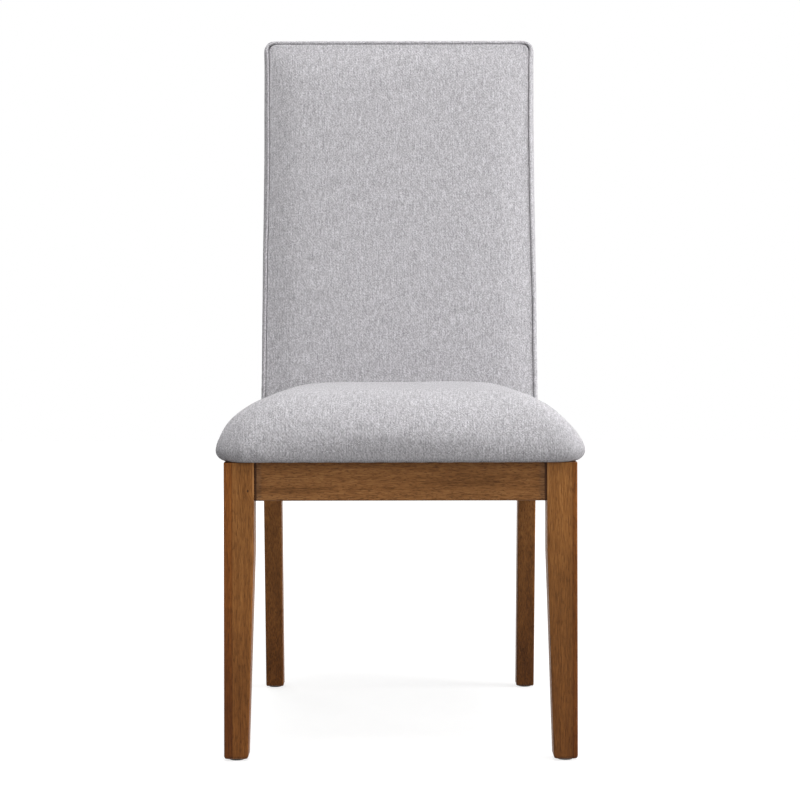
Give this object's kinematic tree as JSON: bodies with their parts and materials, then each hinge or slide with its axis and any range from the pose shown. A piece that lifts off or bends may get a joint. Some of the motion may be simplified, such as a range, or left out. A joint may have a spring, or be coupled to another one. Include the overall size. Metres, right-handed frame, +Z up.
{
  "type": "parsons dining chair",
  "caption": "Parsons dining chair: tall upholstered back with piped edge, crowned upholstered seat, tapered stained wood legs and aprons.",
  "frame": {"origin": "on the floor under the middle of the chair's overall width and depth", "axes": "+Z up, the chair faces -Y, +X is on the right of someone looking at its front"},
  "size_m": [0.4832, 0.578, 0.998],
  "materials": {
    "stained_wood": "satin",
    "bare_wood": "matte",
    "plywood": "matte",
    "fibreboard": "matte",
    "grey_fabric": "matte",
    "foam": "matte",
    "wadding": "matte",
    "webbing": "matte",
    "cambric": "matte",
    "zinc_steel": "satin",
    "nylon": "satin"
  },
  "bodies": {
    "root": {"front_leg_left": "stained_wood", "front_leg_right": "stained_wood", "rear_post_left": "stained_wood", "rear_post_right": "stained_wood", "front_apron": "stained_wood", "rear_apron": "stained_wood", "side_apron_left": "stained_wood", "side_apron_right": "stained_wood", "corner_block_front_left": "bare_wood", "corner_block_front_right": "bare_wood", "corner_block_rear_left": "bare_wood", "corner_block_rear_right": "bare_wood", "block_screw_front_left_cross": "zinc_steel", "block_screw_front_left_side": "zinc_steel", "block_screw_front_right_cross": "zinc_steel", "block_screw_front_right_side": "zinc_steel", "block_screw_rear_left_cross": "zinc_steel", "block_screw_rear_left_side": "zinc_steel", "block_screw_rear_right_cross": "zinc_steel", "block_screw_rear_right_side": "zinc_steel", "seat_screw_front_left": "zinc_steel", "seat_screw_front_right": "zinc_steel", "seat_screw_rear_left": "zinc_steel", "seat_screw_rear_right": "zinc_steel", "glide_front_left": "nylon", "glide_front_right": "nylon", "glide_rear_left": "nylon", "glide_rear_right": "nylon", "back_top_rail": "bare_wood", "back_lower_rail": "bare_wood", "back_webbing_1": "webbing", "back_webbing_2": "webbing", "back_webbing_3": "webbing", "back_foam": "foam", "back_wadding": "wadding", "back_front_cover": "grey_fabric", "back_boxing": "grey_fabric", "back_rear_cover": "grey_fabric", "back_welt": "grey_fabric", "back_board": "fibreboard", "seat_board": "plywood", "seat_foam": "foam", "seat_cover": "grey_fabric", "seat_dust_cover": "cambric"}
  },
  "joints": []
}
